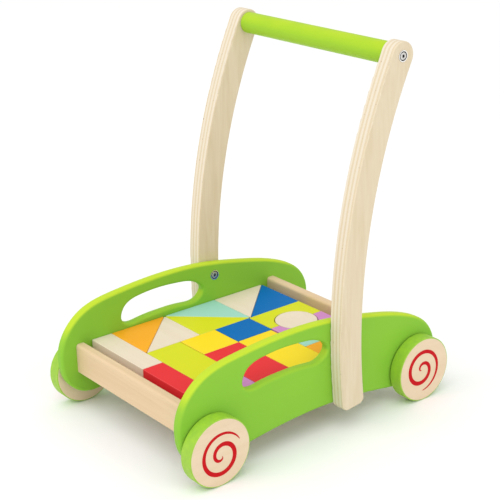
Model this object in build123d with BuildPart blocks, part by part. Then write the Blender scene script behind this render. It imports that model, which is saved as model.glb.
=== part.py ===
# A child's wooden push walker. Two painted side panels and two plain boards make a tray on four wheels,
# two bent plywood uprights carry the push bar, and one layer of building blocks lies loose in the tray.
# Millimetres. +Z is up, the leading end faces -Y, and the left-hand side, for a child pushing it, is +X.
# The origin is on the floor, under the middle of the walker.
from build123d import *
import math
import os

os.makedirs("parts", exist_ok=True)

# Wheels and axles: each pair of wheels is pressed onto one steel axle that turns in nylon bushes
wheelbase = 353.0
wheel_radius = 46.0
wheel_width = 20.5
wheel_gap = 1.5              # from the panel's outer face to the wheel's inner face
tyre_thickness = 1.4
tyre_width = 19.5
axle_radius = 4.0
axle_grip = 14.0             # how far the axle goes into each wheel
bush_radius = 6.5
bush_flange_radius = 10.0
bush_flange_thickness = 1.2
bush_clearance = 0.05        # radial, between axle and bush

# Tray: side panels, end boards and the base let into grooves in all four
tray_half_width = 129.0
panel_thickness = 13.5
panel_edge_radius = 4.0
board_thickness = 14.0
board_edge_radius = 4.0
board_bottom = 56.0
front_board_face = -198.0    # its leading face
front_board_top = 97.0
rear_board_face = 139.0      # its face towards the blocks
rear_board_top = 105.0
base_top = 67.0
base_thickness = 6.0
groove_depth = 4.0

# Uprights: flat plywood cut to one long arc, round at the top, with the push bar bolted between them
upright_thickness = 21.5
upright_width = 37.0
upright_arc_radius = 819.0   # of the centre line
upright_arc_centre = (859.5, 128.0)
upright_bottom = 32.5
upright_corner_radius = 9.0
upright_edge_radius = 2.0
bar_radius = 14.6
bar_height = 491.0

# Fasteners: hex-socket bolts in cup washers, screwed into threaded inserts; plain dowels in the tray
bolt_radius = 3.0
bolt_head_radius = 5.0
bolt_head_height = 1.9
socket_across_corners = 4.6
socket_depth = 1.4
washer_radius = 7.4
washer_height = 2.8
washer_floor = 0.9
washer_wall = 1.3
washer_proud = 0.4           # the rim stands this far out of the wood
insert_radius = 4.6
insert_length = 15.0
fastener_clearance = 0.1     # radial, between a bolt and its insert or hole
dowel_radius = 3.0
dowel_length = 20.0
dowel_in_panel = 8.0

# Blocks: one layer, loose in the tray
block_height = 30.0
block_gap = 0.3              # each block stands this far inside its outline
block_corner_radius = 1.2
block_edge_radius = 0.8
arch_centre = (6.0, 81.0)    # the two arches face each other around the cylinder
arch_radius = 31.2
cylinder_radius = 29.9

# Places worked out from the sizes above
panel_outer = tray_half_width + panel_thickness
wheel_inner = panel_outer + wheel_gap
upright_outer = panel_outer + upright_thickness
axle_places = {"front": -wheelbase / 2, "rear": wheelbase / 2}
sides = {"left": 1, "right": -1}
front_board_y = front_board_face + board_thickness / 2
rear_board_y = rear_board_face + board_thickness / 2
base_length = rear_board_face - front_board_face - board_thickness + 2 * groove_depth
base_y = (rear_board_face + front_board_face + board_thickness) / 2
base_z = base_top - base_thickness / 2
washer_depth = washer_height - washer_proud


def upright_line_y(height):
    """The uprights' centre line: how far back it is at a height above the floor."""
    centre_y, centre_z = upright_arc_centre
    return centre_y - math.sqrt(upright_arc_radius**2 - (height - centre_z)**2)


bar_y = upright_line_y(bar_height)
upright_bolt_heights = (135.5, 50.0)
upright_bolt_places = [(upright_line_y(height), height) for height in upright_bolt_heights]
axle_bores = [(y, wheel_radius) for y in axle_places.values()]
dowel_places = [(front_board_y, 75.0), (front_board_y, 88.0), (rear_board_y, 76.0), (rear_board_y, 94.0)]

# The panel's outline and its hand slot, as (y, z) points that a smooth closed curve goes through
panel_outline = [
    (-222.0, 78.0), (-211.0, 114.5), (-183.0, 140.5), (-130.0, 154.0), (-60.0, 159.5), (15.0, 157.5),
    (98.0, 143.5), (164.5, 125.0), (205.0, 99.0), (218.5, 62.0), (207.0, 33.0), (175.0, 22.0),
    (105.0, 28.5), (15.0, 36.5), (-75.0, 32.5), (-150.0, 22.5), (-189.0, 22.5), (-214.5, 44.0),
]
slot_outline = [
    (-121.5, 116.0), (-112.0, 132.0), (-87.0, 139.5), (-55.0, 141.5), (-22.0, 139.5), (8.0, 131.5),
    (18.5, 119.0), (10.5, 107.5), (-18.0, 105.0), (-55.0, 106.0), (-92.0, 103.5), (-115.0, 104.5),
]

# SIDE PANELS: solid wood with a round edge all the way round and a slot to carry the walker by.
# Each holds two axle bushes, two bolts for its upright, four dowels and one edge of the base.
for side, facing in sides.items():
    inner_face = Plane.YZ.offset(facing * tray_half_width)
    with BuildPart() as side_panel:
        with BuildSketch(inner_face):
            with BuildLine():
                Spline(*panel_outline, periodic=True)
            make_face()
            with BuildLine():
                Spline(*slot_outline, periodic=True)
            make_face(mode=Mode.SUBTRACT)
        extrude(amount=facing * panel_thickness)
        fillet(side_panel.faces().filter_by(Axis.X).edges(), radius=panel_edge_radius)
        with BuildSketch(inner_face):
            with Locations(*axle_bores):
                Circle(bush_radius)
            with Locations(*upright_bolt_places):
                Circle(bolt_radius + fastener_clearance)
        extrude(amount=facing * panel_thickness, mode=Mode.SUBTRACT)
        with BuildSketch(inner_face):
            with Locations(*upright_bolt_places):
                Circle(washer_radius)
        extrude(amount=facing * washer_depth, mode=Mode.SUBTRACT)
        with BuildSketch(inner_face):
            with Locations(*dowel_places):
                Circle(dowel_radius)
        extrude(amount=facing * dowel_in_panel, mode=Mode.SUBTRACT)
        with BuildSketch(inner_face):
            with Locations((base_y, base_z)):
                Rectangle(base_length, base_thickness)
        extrude(amount=facing * groove_depth, mode=Mode.SUBTRACT)
    side_panel.part.label = f"side_panel_{side}"
    export_step(side_panel.part, f"parts/side_panel_{side}.step")

# END BOARDS: plain wood between the panels, rounded along the top, grooved inside for the base.
for end, face_y, top, inward in (("front", front_board_face, front_board_top, 1),
                                 ("rear", rear_board_face, rear_board_top, -1)):
    board_height = top - board_bottom
    board_y = face_y + board_thickness / 2
    inside_y = board_y + inward * board_thickness / 2
    with BuildPart() as end_board:
        with BuildSketch(Plane.XY.offset(board_bottom)):
            with Locations((0, board_y)):
                Rectangle(2 * tray_half_width, board_thickness)
        extrude(amount=board_height)
        fillet(end_board.faces().sort_by(Axis.Z)[-1].edges().filter_by(Axis.X), radius=board_edge_radius)
        with BuildSketch(Plane.XY.offset(base_z - base_thickness / 2)):
            with Locations((0, inside_y)):
                Rectangle(2 * tray_half_width, 2 * groove_depth)
        extrude(amount=base_thickness, mode=Mode.SUBTRACT)
        with BuildSketch(Plane.YZ.offset(tray_half_width), Plane.YZ.offset(-tray_half_width)):
            with Locations(*[place for place in dowel_places if place[0] == board_y]):
                Circle(dowel_radius)
        extrude(amount=dowel_length - dowel_in_panel, both=True, mode=Mode.SUBTRACT)
    end_board.part.label = f"{end}_board"
    export_step(end_board.part, f"parts/{end}_board.step")

# TRAY BASE: a plywood sheet held on all four edges in the grooves.
with BuildPart() as tray_base:
    with BuildSketch(Plane.XY.offset(base_top - base_thickness)):
        with Locations((0, base_y)):
            Rectangle(2 * (tray_half_width + groove_depth), base_length)
    extrude(amount=base_thickness)
tray_base.part.label = "tray_base"
export_step(tray_base.part, "parts/tray_base.step")

# BOARD DOWELS: glued across each joint of end board and side panel.
with BuildPart() as board_dowels:
    for facing in sides.values():
        with BuildSketch(Plane.YZ.offset(facing * (tray_half_width + dowel_in_panel))):
            with Locations(*dowel_places):
                Circle(dowel_radius)
        extrude(amount=-facing * dowel_length)
board_dowels.part.label = "board_dowels"
export_step(board_dowels.part, "parts/board_dowels.step")

# UPRIGHTS: an arc of constant width, bolted flat against the panel's outside from within the tray.
# The insert holes open in the inner face; the push bar's bolt goes in from the outer face.
centre_y, centre_z = upright_arc_centre
front_radius = upright_arc_radius + upright_width / 2
rear_radius = upright_arc_radius - upright_width / 2


def arc_point(radius, angle):
    """A point of the upright's profile; the angle is measured from level, upwards, at the arc's centre."""
    return (centre_y - radius * math.cos(angle), centre_z + radius * math.sin(angle))


bottom_angle = math.asin((upright_bottom - centre_z) / upright_arc_radius)
top_angle = math.asin((bar_height - centre_z) / upright_arc_radius)
middle_angle = (bottom_angle + top_angle) / 2
crown = (bar_y + math.sin(top_angle) * upright_width / 2, bar_height + math.cos(top_angle) * upright_width / 2)

for side, facing in sides.items():
    inner_face = Plane.YZ.offset(facing * panel_outer)
    with BuildPart() as upright:
        with BuildSketch(inner_face) as profile:
            with BuildLine():
                ThreePointArc(arc_point(front_radius, bottom_angle), arc_point(front_radius, middle_angle),
                              arc_point(front_radius, top_angle))
                ThreePointArc(arc_point(front_radius, top_angle), crown, arc_point(rear_radius, top_angle))
                ThreePointArc(arc_point(rear_radius, top_angle), arc_point(rear_radius, middle_angle),
                              arc_point(rear_radius, bottom_angle))
                Line(arc_point(rear_radius, bottom_angle), arc_point(front_radius, bottom_angle))
            make_face()
            fillet(profile.vertices().sort_by(Axis.Y)[:2], radius=upright_corner_radius)
        extrude(amount=facing * upright_thickness)
        fillet(upright.faces().filter_by(Axis.X).edges(), radius=upright_edge_radius)
        with BuildSketch(inner_face):
            with Locations((bar_y, bar_height)):
                Circle(bolt_radius + fastener_clearance)
        extrude(amount=facing * upright_thickness, mode=Mode.SUBTRACT)
        with BuildSketch(Plane.YZ.offset(facing * upright_outer)):
            with Locations((bar_y, bar_height)):
                Circle(washer_radius)
        extrude(amount=-facing * washer_depth, mode=Mode.SUBTRACT)
        with BuildSketch(inner_face):
            with Locations(*upright_bolt_places):
                Circle(insert_radius)
        extrude(amount=facing * insert_length, mode=Mode.SUBTRACT)
    upright.part.label = f"upright_{side}"
    export_step(upright.part, f"parts/upright_{side}.step")

# HANDLE BAR: a thick dowel between the uprights with a threaded insert in each end.
with BuildPart() as handle_bar:
    with BuildSketch(Plane.YZ.offset(-panel_outer)):
        with Locations((bar_y, bar_height)):
            Circle(bar_radius)
    extrude(amount=2 * panel_outer)
    chamfer(handle_bar.edges().filter_by(GeomType.CIRCLE), length=0.8)
    with BuildSketch(Plane.YZ.offset(panel_outer), Plane.YZ.offset(-panel_outer)):
        with Locations((bar_y, bar_height)):
            Circle(insert_radius)
    extrude(amount=insert_length, both=True, mode=Mode.SUBTRACT)
handle_bar.part.label = "handle_bar"
export_step(handle_bar.part, "parts/handle_bar.step")

# FASTENERS: a seat is the floor of a washer's recess, and its normal points out of the bolt's head.
# The push bar's bolts are seen on the outside of the uprights, the uprights' bolts inside the tray.


def seats_at(places, wood_face, outward):
    """One seat for each (y, z) place on both sides of the walker."""
    return [
        Plane(origin=(facing * (wood_face - outward * washer_depth), y, z), z_dir=(facing * outward, 0, 0))
        for facing in sides.values() for y, z in places
    ]


bar_place = [(bar_y, bar_height)]
bar_seats = seats_at(bar_place, upright_outer, 1)
panel_seats = seats_at(upright_bolt_places, tray_half_width, -1)
bar_bolt_length = upright_thickness - washer_depth - washer_floor + insert_length - 1
panel_bolt_length = panel_thickness - washer_depth - washer_floor + insert_length - 1

for name, seats, length in (("handle_bolts", bar_seats, bar_bolt_length),
                            ("upright_bolts", panel_seats, panel_bolt_length)):
    head_seats = [seat.offset(washer_floor) for seat in seats]
    head_tops = [seat.offset(bolt_head_height) for seat in head_seats]
    with BuildPart() as bolts:
        with BuildSketch(*head_seats):
            Circle(bolt_head_radius)
        extrude(amount=bolt_head_height)
        fillet(bolts.edges().filter_by(GeomType.CIRCLE), radius=0.5)
        with BuildSketch(*head_seats):
            Circle(bolt_radius)
        extrude(amount=-length)
        with BuildSketch(*head_tops):
            RegularPolygon(radius=socket_across_corners / 2, side_count=6)
        extrude(amount=-socket_depth, mode=Mode.SUBTRACT)
    bolts.part.label = name
    export_step(bolts.part, f"parts/{name}.step")

for name, seats in (("handle_bolt_washers", bar_seats), ("upright_bolt_washers", panel_seats)):
    rims = [seat.offset(washer_height) for seat in seats]
    with BuildPart() as washers:
        with BuildSketch(*seats):
            Circle(washer_radius)
        extrude(amount=washer_height)
        with BuildSketch(*rims):
            Circle(washer_radius - washer_wall)
        extrude(amount=-(washer_height - washer_floor), mode=Mode.SUBTRACT)
        with BuildSketch(*seats):
            Circle(bolt_radius + fastener_clearance)
        extrude(amount=washer_floor, mode=Mode.SUBTRACT)
    washers.part.label = name
    export_step(washers.part, f"parts/{name}.step")

# THREADED INSERTS: brass-coloured barrels, in the bar's ends and in the uprights' inner faces.
for name, places, inward in (("handle_inserts", bar_place, -1), ("upright_inserts", upright_bolt_places, 1)):
    with BuildPart() as inserts:
        for facing in sides.values():
            with BuildSketch(Plane.YZ.offset(facing * panel_outer)):
                with Locations(*places):
                    Circle(insert_radius)
                    Circle(bolt_radius + fastener_clearance, mode=Mode.SUBTRACT)
            extrude(amount=facing * inward * insert_length)
    inserts.part.label = name
    export_step(inserts.part, f"parts/{name}.step")

# AXLE BUSHES: pressed through the panels from outside; the flange keeps the wheel off the panel.
with BuildPart() as axle_bushes:
    for facing in sides.values():
        with BuildSketch(Plane.YZ.offset(facing * tray_half_width)):
            with Locations(*axle_bores):
                Circle(bush_radius)
        extrude(amount=facing * panel_thickness)
        with BuildSketch(Plane.YZ.offset(facing * panel_outer)):
            with Locations(*axle_bores):
                Circle(bush_flange_radius)
        extrude(amount=facing * bush_flange_thickness)
        with BuildSketch(Plane.YZ.offset(facing * tray_half_width)):
            with Locations(*axle_bores):
                Circle(axle_radius + bush_clearance)
        extrude(amount=facing * (panel_thickness + bush_flange_thickness), mode=Mode.SUBTRACT)
axle_bushes.part.label = "axle_bushes"
export_step(axle_bushes.part, "parts/axle_bushes.step")

# AXLES, WHEELS AND TYRES: a turned wooden disc with plain faces and a thin band around its rim.
for end, axle_y in axle_places.items():
    axle_end = wheel_inner + axle_grip
    with BuildPart() as axle:
        with BuildSketch(Plane.YZ.offset(-axle_end)):
            with Locations((axle_y, wheel_radius)):
                Circle(axle_radius)
        extrude(amount=2 * axle_end)
        chamfer(axle.edges().filter_by(GeomType.CIRCLE), length=0.6)
    axle.part.label = f"{end}_axle"
    export_step(axle.part, f"parts/{end}_axle.step")

    for side, facing in sides.items():
        wheel_face = Plane.YZ.offset(facing * wheel_inner)
        with BuildPart() as wheel:
            with BuildSketch(wheel_face):
                with Locations((axle_y, wheel_radius)):
                    Circle(wheel_radius - tyre_thickness)
            extrude(amount=facing * wheel_width)
            fillet(wheel.edges().filter_by(GeomType.CIRCLE), radius=0.5)
            with BuildSketch(wheel_face):
                with Locations((axle_y, wheel_radius)):
                    Circle(axle_radius)
            extrude(amount=facing * axle_grip, mode=Mode.SUBTRACT)
        wheel.part.label = f"wheel_{end}_{side}"
        export_step(wheel.part, f"parts/wheel_{end}_{side}.step")

        tyre_start = wheel_inner + (wheel_width - tyre_width) / 2
        with BuildPart() as tyre:
            with BuildSketch(Plane.YZ.offset(facing * tyre_start)):
                with Locations((axle_y, wheel_radius)):
                    Circle(wheel_radius)
            extrude(amount=facing * tyre_width)
            fillet(tyre.edges().filter_by(GeomType.CIRCLE), radius=1.0)
            with BuildSketch(wheel_face):
                with Locations((axle_y, wheel_radius)):
                    Circle(wheel_radius - tyre_thickness)
            extrude(amount=facing * wheel_width, mode=Mode.SUBTRACT)
        tyre.part.label = f"tyre_{end}_{side}"
        export_step(tyre.part, f"parts/tyre_{end}_{side}.step")

# BUILDING BLOCKS: each outline is a list of (x, y) corners, seen from above.


def oblong(far, near, front, rear):
    """A rectangle from x = far to x = near and from y = front to y = rear."""
    return [(far, front), (near, front), (near, rear), (far, rear)]


far_wall, near_wall = -128.7, 128.7      # the blocks reach this far towards the two panels
column = -43.0                           # between the triangles and the other blocks
first, second, third, last = -141.0, -51.5, 38.0, 127.5     # ends of the three squares of triangles
block_outlines = {
    "block_natural_plank": oblong(far_wall, -5, -173.5, first),
    "block_red_plank": oblong(-5, near_wall, -173.5, first),
    "block_orange_triangle": [(far_wall, first), (column, first), (far_wall, second)],
    "block_natural_triangle_front": [(column, first), (column, second), (far_wall, second)],
    "block_lime_triangle": [(far_wall, second), (column, second), (column, third)],
    "block_mint_triangle": [(far_wall, second), (column, third), (far_wall, third)],
    "block_natural_triangle_rear": [(far_wall, third), (column, third), (far_wall, last)],
    "block_blue_triangle": [(column, third), (column, last), (far_wall, last)],
    "block_lime_rectangle": oblong(column, 70, first, -86),
    "block_violet_square": oblong(70, near_wall, first, -86.5),
    "block_yellow_square": oblong(column, 11.5, -85, -26),
    "block_red_rectangle": oblong(11.5, near_wall, -86, -26.5),
    "block_blue_square": oblong(column, 9, -25.5, 34.5),
    "block_yellow_rectangle": oblong(9.5, near_wall, -26, 32),
    "block_lime_arch": oblong(column, arch_centre[0], 35, last),
    "block_violet_arch": oblong(arch_centre[0], 55, 35, last),
    "block_mint_strip": oblong(55, 82, 32.5, last),
    "block_orange_rectangle": oblong(82, near_wall, 32.5, last),
}

for name, corners in block_outlines.items():
    with BuildPart() as block:
        with BuildSketch(Plane.XY.offset(base_top)) as outline:
            with BuildLine():
                Polyline(*corners, close=True)
            make_face()
            offset(amount=-block_gap, kind=Kind.INTERSECTION)
            if name.endswith("arch"):
                with Locations(arch_centre):
                    Circle(arch_radius, mode=Mode.SUBTRACT)
            fillet(outline.vertices(), radius=block_corner_radius)
        extrude(amount=block_height)
        fillet(block.faces().filter_by(Axis.Z).edges(), radius=block_edge_radius)
    block.part.label = name
    export_step(block.part, f"parts/{name}.step")

with BuildPart() as block_cylinder:
    with BuildSketch(Plane.XY.offset(base_top)):
        with Locations(arch_centre):
            Circle(cylinder_radius)
    extrude(amount=block_height)
    fillet(block_cylinder.faces().filter_by(Axis.Z).edges(), radius=block_edge_radius)
block_cylinder.part.label = "block_natural_cylinder"
export_step(block_cylinder.part, "parts/block_natural_cylinder.step")
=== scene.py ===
import math

import bpy
import numpy as np
from mathutils import Matrix, Vector


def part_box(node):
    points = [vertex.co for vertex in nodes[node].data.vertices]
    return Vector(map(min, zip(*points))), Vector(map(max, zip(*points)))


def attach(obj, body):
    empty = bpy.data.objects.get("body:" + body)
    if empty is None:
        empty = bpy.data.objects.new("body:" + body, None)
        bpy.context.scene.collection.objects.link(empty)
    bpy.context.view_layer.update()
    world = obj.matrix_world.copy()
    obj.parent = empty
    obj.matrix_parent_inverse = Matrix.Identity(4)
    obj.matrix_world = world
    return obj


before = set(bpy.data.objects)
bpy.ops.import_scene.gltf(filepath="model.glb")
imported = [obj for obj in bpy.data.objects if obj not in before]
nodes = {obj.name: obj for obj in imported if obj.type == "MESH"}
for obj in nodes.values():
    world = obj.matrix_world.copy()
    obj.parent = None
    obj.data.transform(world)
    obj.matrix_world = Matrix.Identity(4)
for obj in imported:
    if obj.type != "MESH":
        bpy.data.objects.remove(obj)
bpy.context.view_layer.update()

# SIDE PANELS: two shaped boards of solid light wood, routed round all their edges and sprayed with
# a water-based green paint. The boards between them are glued and dowelled to their inner faces.


def linear_colour(hex_code):
    """An sRGB hex colour as linear RGBA: each channel c becomes ((c + 0.055) / 1.055) to the power 2.4."""
    channels = [int(hex_code[i:i + 2], 16) / 255 for i in (0, 2, 4)]
    return tuple(c / 12.92 if c <= 0.04045 else ((c + 0.055) / 1.055) ** 2.4 for c in channels) + (1.0,)


def add_node(tree, kind, inputs=None, **settings):
    """Adds one node with its settings; each input is given a value or is linked to another node's socket."""
    node = tree.nodes.new(kind)
    for name, value in settings.items():
        setattr(node, name, value)
    for key, value in (inputs or {}).items():
        if isinstance(value, bpy.types.NodeSocket):
            tree.links.new(value, node.inputs[key])
        else:
            node.inputs[key].default_value = value
    return node


def new_finish(name):
    """An empty material with its node tree and its shader."""
    material = bpy.data.materials.new(name)
    material.use_nodes = True
    return material, material.node_tree, material.node_tree.nodes["Principled BSDF"]


def streaks(tree, across_mm, along_mm, grain, detail=2.0, distortion=0.0):
    """Soft spots drawn out along the grain, of the given sizes: noise on the piece's own coordinates."""
    size = {axis: across_mm for axis in "XYZ"}
    size[grain] = along_mm
    place = add_node(tree, "ShaderNodeTexCoord")
    scaled = add_node(tree, "ShaderNodeMapping", {
        "Vector": place.outputs["Object"],
        "Scale": tuple(1000 / size[axis] for axis in "XYZ"),
    })
    noise = add_node(tree, "ShaderNodeTexNoise", {
        "Vector": scaled.outputs["Vector"],
        "Scale": 1.0,
        "Detail": detail,
        "Distortion": distortion,
    })
    return noise.outputs["Fac"]


def between(tree, value, low, high, start=0.0, end=1.0):
    """The value mapped from the range low..high to start..end, and held at both ends."""
    mapped = add_node(tree, "ShaderNodeMapRange", {
        "Value": value, "From Min": low, "From Max": high, "To Min": start, "To Max": end,
    }, clamp=True)
    return mapped.outputs["Result"]


def blend_colours(tree, amount, first, second):
    """Two colours mixed by an amount; either colour may be a hex code or a socket."""
    pair = [linear_colour(c) if isinstance(c, str) else c for c in (first, second)]
    return add_node(tree, "ShaderNodeMix", {0: amount, 6: pair[0], 7: pair[1]}, data_type="RGBA").outputs[2]


def facing(tree, axis):
    """The surface normal's part along an axis: 1 on a face that looks along it, 0 on one beside it."""
    surface = add_node(tree, "ShaderNodeNewGeometry")
    return add_node(tree, "ShaderNodeSeparateXYZ", {"Vector": surface.outputs["Normal"]}).outputs[axis]


def height_above_floor(tree):
    """How high a point of the piece is, in metres: the pieces' own origin is on the floor."""
    place = add_node(tree, "ShaderNodeTexCoord")
    return add_node(tree, "ShaderNodeSeparateXYZ", {"Vector": place.outputs["Object"]}).outputs["Z"]


def calculate(tree, operation, *values):
    """The result of one sum, product or other operation on values or sockets."""
    return add_node(tree, "ShaderNodeMath", dict(enumerate(values)), operation=operation).outputs[0]


def finish_surface(tree, shader, colour, roughness, height, strength, depth_mm):
    """Links the colour and roughness, and lets a height pattern of a real depth catch the light."""
    bump = add_node(tree, "ShaderNodeBump", {
        "Strength": strength,
        "Distance": depth_mm / 1000,
        "Height": height,
    })
    tree.links.new(colour, shader.inputs["Base Color"])
    tree.links.new(roughness, shader.inputs["Roughness"])
    tree.links.new(bump.outputs["Normal"], shader.inputs["Normal"])


def paint_over_wood(name, body, shade, thin_coat_and_highlight, thin_coat_and_highlight_mask, grain, roughness=0.45):
    """Satin water-based paint, sprayed and sanded by hand.

    The colour drifts a little towards a deeper shade in soft clouds 60 mm wide, turns towards a second,
    paler tone on a mask that each piece gives, partly a coat rubbed thin and partly a painted highlight
    on the upper edges, and the sheen is broken by a fine grit with the faintest trace of the grain lines
    under it.
    """
    material, tree, shader = new_finish(name)
    drift = streaks(tree, 60, 120, grain)
    fibre = streaks(tree, 1.6, 40, grain, detail=3.0)
    grit = streaks(tree, 0.7, 0.7, grain, detail=1.0)
    clouded = blend_colours(tree, between(tree, drift, 0.35, 0.65, 0.0, 0.14), body, shade)
    coat = blend_colours(tree, between(tree, fibre, 0.45, 0.8, 0.0, 0.05), clouded, shade)
    # Paler tone on the piece's mask: a painted highlight, partly a thinner coat.
    colour = blend_colours(tree, thin_coat_and_highlight_mask(tree), coat, thin_coat_and_highlight)
    sheen = between(tree, grit, 0.3, 0.7, roughness - 0.05, roughness + 0.07)
    finish_surface(tree, shader, colour, sheen, calculate(tree, "ADD", fibre, grit), 0.12, 0.1)
    shader.inputs["IOR"].default_value = 1.5
    shader.inputs["Specular IOR Level"].default_value = 0.08
    return material


def top_arris_thin_coat_and_highlight(tree):
    """Painted highlight, with some thinner coat: most on the rounded edges that look up along the panel's
    top, little on the edges lower down.
    """
    looking_up = between(tree, facing(tree, "Z"), 0.05, 0.6, 0.0, 0.9)
    near_the_top = between(tree, height_above_floor(tree), 0.104, 0.122, 0.25, 1.0)
    return calculate(tree, "MULTIPLY", looking_up, near_the_top)


# C6DE36 on the top arris is mostly a painted highlight, partly a thinner coat.
panel_paint = paint_over_wood(
    "Satin green paint on rubberwood", "8EC73F", "74B43A", "C6DE36", top_arris_thin_coat_and_highlight, "Y")
for side in ("left", "right"):
    nodes[f"side_panel_{side}"].material_slots[0].material = panel_paint

# HANDLE BAR: a thick turned dowel in a slightly yellower green, held by a bolt through each upright.
# The paint is the same kind as the panels', worn a touch smoother by hands.


def painted_top_highlight(tree):
    """A painted highlight: yellower along the top of the bar, where the light falls, in soft patches 40 mm
    long.
    """
    patch = between(tree, streaks(tree, 25, 40, "X"), 0.3, 0.7, 0.5, 1.0)
    looking_up = between(tree, facing(tree, "Z"), 0.0, 0.9, 0.0, 0.8)
    return calculate(tree, "MULTIPLY", looking_up, patch)


# C0DB2E along the top of the bar is a painted highlight.
nodes["handle_bar"].material_slots[0].material = paint_over_wood(
    "Satin yellow-green paint on a beech dowel", "A2D035", "8CC03A", "C0DB2E", painted_top_highlight, "X", roughness=0.38)

# END BOARDS AND DOWELS: planed light wood under a clear matt lacquer, grain running across the tray.
# The top edges are rounded over so that a child's knuckles are safe.


def lacquered_wood(name, pale, tan, fleck, grain, ring_mm=9.0, bands=0.5, flecks=0.3):
    """Planed beech-like wood under clear matt lacquer.

    Growth rings show as very soft bands of the given width, fibres as fine lines 1 mm apart, and pores
    as short brown flecks 4 mm long. The lacquer leaves a low sheen that is broken by the fibres.
    """
    material, tree, shader = new_finish(name)
    rings = streaks(tree, ring_mm, 220, grain, detail=3.0, distortion=0.6)
    fibre = streaks(tree, 1.0, 60, grain, detail=4.0)
    pores = streaks(tree, 0.7, 4.5, grain, detail=1.0)
    board = blend_colours(tree, between(tree, rings, 0.38, 0.66, 0.0, bands), pale, tan)
    lined = blend_colours(tree, between(tree, fibre, 0.4, 0.75, 0.0, 0.22), board, tan)
    pored = blend_colours(tree, between(tree, pores, 0.66, 0.74, 0.0, flecks), lined, fleck)
    sheen = between(tree, fibre, 0.3, 0.7, 0.44, 0.58)
    relief = calculate(tree, "ADD", fibre, between(tree, pores, 0.66, 0.74, 0.0, -0.6))
    finish_surface(tree, shader, pored, sheen, relief, 0.2, 0.15)
    shader.inputs["IOR"].default_value = 1.5
    shader.inputs["Specular IOR Level"].default_value = 0.2
    return material


board_wood = lacquered_wood("Clear-lacquered planed beech", "E6CBA6", "D9BA90", "B99466", "X")
for name in ("front_board", "rear_board", "board_dowels"):
    nodes[name].material_slots[0].material = board_wood

# UPRIGHTS AND TRAY BASE: birch plywood. The uprights are cut from thick sheet to a long arc, so the
# veneer's grain runs straight up while the narrow edges show every ply; the base is thin sheet.


def birch_plywood(name, thickness_axis, grain, ply_mm=1.65):
    """Birch plywood under clear lacquer.

    On a face: rotary-cut veneer, nearly even, with faint long waves. On an edge: plies of the given
    thickness, by turns pale where the fibres run along and a shade browner where they are cut across,
    with faint glue lines that waver a little, and now and then a small dark gap in a ply.
    """
    material, tree, shader = new_finish(name)
    waves = streaks(tree, 14, 130, grain, detail=2.0, distortion=1.5)
    fibre = streaks(tree, 0.9, 35, grain, detail=3.0)
    veneer = blend_colours(tree, between(tree, waves, 0.35, 0.7, 0.0, 0.6), "E3D4B8", "D8C5A2")
    face = blend_colours(tree, between(tree, fibre, 0.45, 0.8, 0.0, 0.18), veneer, "CDB288")

    place = add_node(tree, "ShaderNodeTexCoord")
    parts = add_node(tree, "ShaderNodeSeparateXYZ", {"Vector": place.outputs["Object"]})
    waver = between(tree, streaks(tree, 30, 30, grain), 0.0, 1.0, -0.0004, 0.0004)
    depth = calculate(tree, "ADD", parts.outputs[thickness_axis], waver)
    ply = calculate(tree, "DIVIDE", depth, ply_mm / 1000)
    crossed = between(tree, calculate(tree, "PINGPONG", ply, 2.0), 0.85, 1.15)
    cut_end = streaks(tree, 0.6, 0.6, grain, detail=2.0)
    cross_ply = blend_colours(tree, between(tree, cut_end, 0.35, 0.7), "E6D7BB", "DCC8A5")
    plies = blend_colours(tree, crossed, "ECE0CC", cross_ply)
    glue = between(tree, calculate(tree, "PINGPONG", ply, 1.0), 0.0, 0.12, 0.13, 0.0)
    glued = blend_colours(tree, glue, plies, "B4935F")
    missing_wood = between(tree, streaks(tree, 1.5, 7, grain, detail=1.0), 0.735, 0.77, 0.0, 0.75)
    edge = blend_colours(tree, calculate(tree, "MULTIPLY", missing_wood, crossed), glued, "6B4A2C")

    squareness = calculate(tree, "ABSOLUTE", facing(tree, thickness_axis))
    colour = blend_colours(tree, between(tree, squareness, 0.55, 0.85, 1.0, 0.0), face, edge)
    sheen = between(tree, fibre, 0.3, 0.7, 0.46, 0.60)
    finish_surface(tree, shader, colour, sheen, fibre, 0.2, 0.15)
    shader.inputs["IOR"].default_value = 1.5
    shader.inputs["Specular IOR Level"].default_value = 0.2
    return material


upright_ply = birch_plywood("Clear-lacquered birch plywood, upright", "X", "Z")
for side in ("left", "right"):
    nodes[f"upright_{side}"].material_slots[0].material = upright_ply
nodes["tray_base"].material_slots[0].material = birch_plywood(
    "Clear-lacquered birch plywood, sheet", "Z", "Y", ply_mm=1.2)

# FASTENERS: nickel-plated bolts with a hexagon socket, in cup washers let into the wood, screwed
# into zinc-plated inserts. Only the heads and the washers' rims are seen.


def plated_steel(name, bright, dull, recess_shade, roughness):
    """Plated steel: bright and tumbled smooth, duller in soft patches about 4 mm wide.

    Within 3 mm of a deep corner the colour turns to a painted shade: this draws the dark ring between
    head and washer and the edges of the hexagon socket.
    """
    material, tree, shader = new_finish(name)
    patch = streaks(tree, 4, 4, "X", detail=2.0)
    scuff = streaks(tree, 0.5, 3, "Z", detail=2.0)
    plated = blend_colours(tree, between(tree, patch, 0.3, 0.7), bright, dull)
    # Painted shade: ambient occlusion darkens the colour in recesses and corners.
    openness = add_node(tree, "ShaderNodeAmbientOcclusion", {"Distance": 0.003}, samples=8)
    painted_recess_shade = between(tree, openness.outputs["AO"], 0.55, 0.92, 1.0, 0.0)
    colour = blend_colours(tree, painted_recess_shade, plated, recess_shade)
    sheen = between(tree, scuff, 0.3, 0.7, roughness, roughness + 0.12)
    finish_surface(tree, shader, colour, sheen, scuff, 0.1, 0.05)
    shader.inputs["Metallic"].default_value = 1.0
    return material


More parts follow.
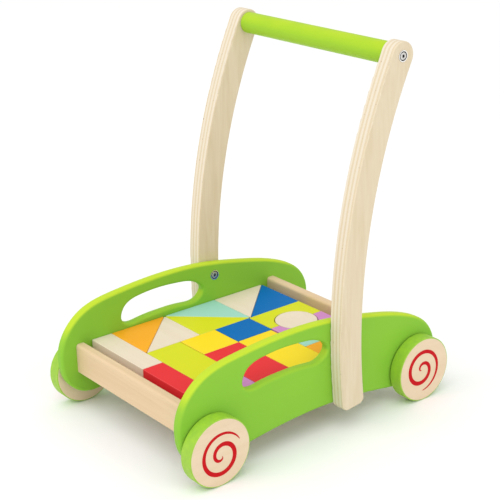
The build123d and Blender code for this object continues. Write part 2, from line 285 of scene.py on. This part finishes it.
head_steel = plated_steel("Nickel-plated bolt head", "E0DEDA", "C4C2BE", "0A0A0A", 0.16)
cup_steel = plated_steel("Nickel-plated cup washer", "FBFAF8", "ECEAE7", "0A0A0A", 0.12)
zinc = plated_steel("Zinc-plated steel", "C3C5C7", "A4A7AA", "5A5C5E", 0.30)
for name in ("handle_bolts", "upright_bolts"):
    nodes[name].material_slots[0].material = head_steel
for name in ("handle_bolt_washers", "upright_bolt_washers"):
    nodes[name].material_slots[0].material = cup_steel
for name in ("handle_inserts", "upright_inserts", "front_axle", "rear_axle"):
    nodes[name].material_slots[0].material = zinc

# AXLE BUSHES: flanged sleeves moulded in white nylon and pressed into the panels. The flange shows as
# a pale ring in the gap behind each wheel, milky white, with a fine moulded grain that dulls its sheen.
nylon, tree, shader = new_finish("Moulded white nylon")
grit = streaks(tree, 0.8, 0.8, "X", detail=2.0)
milky = blend_colours(tree, between(tree, grit, 0.3, 0.7), "F2F0EA", "E6E3DA")
tree.links.new(milky, shader.inputs["Base Color"])
tree.links.new(between(tree, grit, 0.3, 0.7, 0.38, 0.5), shader.inputs["Roughness"])
shader.inputs["Subsurface Weight"].default_value = 0.1
shader.inputs["Subsurface Radius"].default_value = (0.002, 0.002, 0.002)
nodes["axle_bushes"].material_slots[0].material = nylon

# WHEELS: discs sawn from light wood, sanded and lacquered, and pressed onto the axle's ends. The
# grain crosses the face, with broader and softer bands than on the boards.
wheel_wood = lacquered_wood("Clear-lacquered beech, sawn disc", "EAD4B6", "DEC49F", "BC9A6D", "Y",
                            ring_mm=16.0, bands=0.35, flecks=0.25)
axle_ends = ("front", "rear")
for end in axle_ends:
    for side in ("left", "right"):
        nodes[f"wheel_{end}_{side}"].material_slots[0].material = wheel_wood

# TYRES: a thin band of green rubber round each wheel's rim, moulded with fine ribs across the tread
# so that it grips and runs quietly. The rubber is matt, with a cloudy bloom 6 mm wide.
rubber, tree, shader = new_finish("Moulded green rubber")
bloom = streaks(tree, 6, 6, "X", detail=3.0)
ribs = streaks(tree, 0.7, 12, "X", detail=1.0)
tread_green = blend_colours(tree, between(tree, bloom, 0.3, 0.7), "A2CF34", "95C539")
tread_sheen = between(tree, bloom, 0.3, 0.7, 0.48, 0.6)
finish_surface(tree, shader, tread_green, tread_sheen, ribs, 0.35, 0.2)
for end in axle_ends:
    for side in ("left", "right"):
        nodes[f"tyre_{end}_{side}"].material_slots[0].material = rubber

# SPIRALS: a red spiral screen-printed on each wheel's outer face, in ink that stands a hair proud of
# the wood. It runs inwards for almost two turns and tapers to a point at both ends. The ink dries
# to a strong red without shine, a little patchy where it was pulled through the mesh.
ink, tree, shader = new_finish("Red screen-printing ink")
pull = streaks(tree, 0.8, 0.8, "X", detail=2.0)
ink_red = blend_colours(tree, between(tree, pull, 0.35, 0.7), "CC0E1B", "BE0C18")
tree.links.new(ink_red, shader.inputs["Base Color"])
tree.links.new(between(tree, pull, 0.3, 0.7, 0.48, 0.6), shader.inputs["Roughness"])
shader.inputs["Specular IOR Level"].default_value = 0.1

spiral_start_radius = 0.0317
spiral_closing = 0.0014                  # metres a radian
spiral_tightening = 0.00011              # metres a radian squared
spiral_turn = math.radians(674)
spiral_width = 0.0067
spiral_tip = 0.02                        # of the full width, left at both ends
spiral_taper = 0.45                      # power of the swelling between the ends
spiral_narrowing = 0.15                  # of the width, lost on the way in
spiral_pole = (0.0013, -0.0045)
spiral_start_angle = math.radians(26)
rear_wheels_turned = math.radians(-114)
ink_height = 0.00008
spiral_steps = 260


def spiral_ribbon(name, face_x, outward, axle, turned):
    """A closed, flat ribbon along a spiral.

    The spiral's radius falls from its start by the closing times the angle and the tightening times
    the angle squared. Over the length, t from 0 to 1, its width swells from the tip as sin(pi t) to
    the power of the taper, and narrows evenly on the way in. Four corners go round the ribbon at each
    step: outer and inner edge, just under the wood's face and at the ink's top.
    """
    t = np.linspace(0.0, 1.0, spiral_steps)
    angle = spiral_turn * t
    radius = spiral_start_radius - spiral_closing * angle - spiral_tightening * angle**2
    swelling = np.sin(np.pi * t) ** spiral_taper
    width = spiral_width * (spiral_tip + (1 - spiral_tip) * swelling) * (1 - spiral_narrowing * t)
    direction = spiral_start_angle + angle
    rows = []
    for edge, height in ((0.5, -1.0), (0.5, 1.0), (-0.5, 1.0), (-0.5, -1.0)):
        reach = radius + edge * width
        across = spiral_pole[0] + reach * np.cos(direction)
        up = spiral_pole[1] + reach * np.sin(direction)
        y = outward * (across * math.cos(turned) - up * math.sin(turned))
        z = across * math.sin(turned) + up * math.cos(turned)
        x = np.full_like(t, face_x + outward * height * ink_height)
        rows.append(np.stack([x, axle[0] + y, axle[1] + z], axis=1))
    points = np.stack(rows, axis=1).reshape(-1, 3)
    step = np.arange(spiral_steps - 1)[:, None] * 4
    corner = np.arange(4)[None, :]
    following = (corner + 1) % 4
    walls = np.stack([step + 4 + corner, step + 4 + following, step + following, step + corner], axis=2)
    last = (spiral_steps - 1) * 4
    faces = walls.reshape(-1, 4).tolist() + [[0, 1, 2, 3], [last + 3, last + 2, last + 1, last]]
    mesh = bpy.data.meshes.new(name)
    mesh.from_pydata(points.tolist(), [], faces)
    mesh.update()
    ribbon = bpy.data.objects.new(name, mesh)
    bpy.context.scene.collection.objects.link(ribbon)
    return ribbon


for end, turned in (("front", 0.0), ("rear", rear_wheels_turned)):
    for side, outward in (("left", 1), ("right", -1)):
        low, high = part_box(f"wheel_{end}_{side}")
        face_x = high.x if outward > 0 else low.x
        axle = ((low.y + high.y) / 2, (low.z + high.z) / 2)
        spiral = spiral_ribbon(f"spiral_{end}_{side}", face_x, outward, axle, turned)
        spiral.data.materials.append(ink)
        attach(spiral, f"{end}_wheels")

# BUILDING BLOCKS: sawn from light wood in one thickness, with rounded arrises. Some are left plain
# under lacquer, the rest are dipped in bright water-based paint that is thinnest on the arrises and has a
# painted highlight on the top arrises.


def block_arris_thin_coat_and_highlight(tree):
    """Paler tone, partly a thinner coat and partly a painted highlight: full on the rounding round the top,
    nothing on the flat top and sides.
    """
    up = facing(tree, "Z")
    off_the_top = between(tree, up, 0.75, 0.97, 1.0, 0.0)
    off_the_sides = between(tree, up, 0.05, 0.3, 0.0, 0.45)
    return calculate(tree, "MULTIPLY", off_the_top, off_the_sides)


# Each dipped block's paint: its body colour, the deeper shade in its clouds, and the paler tone on its top
# arris, partly a thinner coat and partly a painted highlight.
block_paints = {
    "orange": ("F9AE27", "F09A1C", "FFCB66"), "lime": ("D9DD26", "C9D024", "E8EA78"),
    "mint": ("A4D8C7", "92CCB9", "C6E9DE"), "blue": ("006DB8", "0064AA", "2F88C8"),
    "violet": ("D08CC6", "C27BB8", "E2B4DB"), "yellow": ("FBDD28", "F2CE1E", "FFEB78"),
    "red": ("E8343A", "D92A31", "F27470"),
}
block_finishes = {
    colour: paint_over_wood(f"Dipped {colour} paint on beech", body, shade, thin_coat_and_highlight, block_arris_thin_coat_and_highlight, "Y")
    for colour, (body, shade, thin_coat_and_highlight) in block_paints.items()
}
block_finishes["natural"] = lacquered_wood("Clear-lacquered beech block", "EBDDC8", "E2CFB2", "C8AD86", "X",
                                           ring_mm=12.0, bands=0.25, flecks=0.2)
for name, node in nodes.items():
    if name.startswith("block_"):
        node.material_slots[0].material = block_finishes[name.split("_")[1]]

# FLOOR: one pale matt sheet, wide enough to reach past every view.
floor_mesh = bpy.data.meshes.new("studio_floor")
floor_half = 12.0
floor_mesh.from_pydata(
    [(-floor_half, -floor_half, 0), (floor_half, -floor_half, 0), (floor_half, floor_half, 0),
     (-floor_half, floor_half, 0)], [], [(0, 1, 2, 3)])
studio_floor = bpy.data.objects.new("studio_floor", floor_mesh)
bpy.context.scene.collection.objects.link(studio_floor)
floor_paint, tree, shader = new_finish("Matt white floor")
shader.inputs["Base Color"].default_value = linear_colour("FDFDFC")
shader.inputs["Roughness"].default_value = 0.9
shader.inputs["Specular IOR Level"].default_value = 0.1
floor_mesh.materials.append(floor_paint)

# LIGHT: a white sky, a broad even light from high in front that whitens the floor out to the edges,
# and two weak soft boxes that give the round edges and the bolts something to shine with.
world = bpy.data.worlds.new("studio_sky")
world.use_nodes = True
world.node_tree.nodes["Background"].inputs["Color"].default_value = (1.0, 1.0, 1.0, 1.0)
world.node_tree.nodes["Background"].inputs["Strength"].default_value = 0.72
bpy.context.scene.world = world
middle = Vector((0.0, 0.0, 0.2))


def aim_lamp(name, kind, place, power, **settings):
    """A lamp that faces the walker from its place; further settings go to the lamp's own data."""
    lamp = bpy.data.lights.new(name, kind)
    lamp.energy = power
    for setting, value in settings.items():
        setattr(lamp, setting, value)
    holder = bpy.data.objects.new(name, lamp)
    holder.location = place
    holder.rotation_euler = (middle - Vector(place)).to_track_quat("-Z", "Y").to_euler()
    bpy.context.scene.collection.objects.link(holder)


aim_lamp("even_light", "SUN", (0.6, -1.5, 3.4), 1.05, angle=math.radians(60))
aim_lamp("front_box", "AREA", (-0.6, -2.4, 2.2), 9.0, shape="SQUARE", size=1.4)
aim_lamp("side_box", "AREA", (2.6, 0.2, 1.4), 9.0, shape="SQUARE", size=1.2)

# CAMERA: in front, on the left-hand side, a metre and a half away and looking down.
camera_data = bpy.data.cameras.new("camera")
camera_data.sensor_width = 36.0
camera_data.lens = 95.5
camera = bpy.data.objects.new("camera", camera_data)
bpy.context.scene.collection.objects.link(camera)
azimuth = math.radians(51.84)
elevation = math.radians(-20.71)
roll = math.radians(-1.42)
looking = Vector((-math.sin(azimuth) * math.cos(elevation), math.cos(azimuth) * math.cos(elevation),
                  math.sin(elevation)))
level = looking.cross(Vector((0, 0, 1))).normalized()
upward = level.cross(looking)
across = math.cos(roll) * level + math.sin(roll) * upward
above = math.cos(roll) * upward - math.sin(roll) * level
camera.matrix_world = Matrix((
    (across.x, above.x, -looking.x, 1.3142),
    (across.y, above.y, -looking.y, -1.0268),
    (across.z, above.z, -looking.z, 0.8510),
    (0.0, 0.0, 0.0, 1.0),
))
bpy.context.scene.camera = camera
bpy.context.scene.view_settings.view_transform = "Standard"
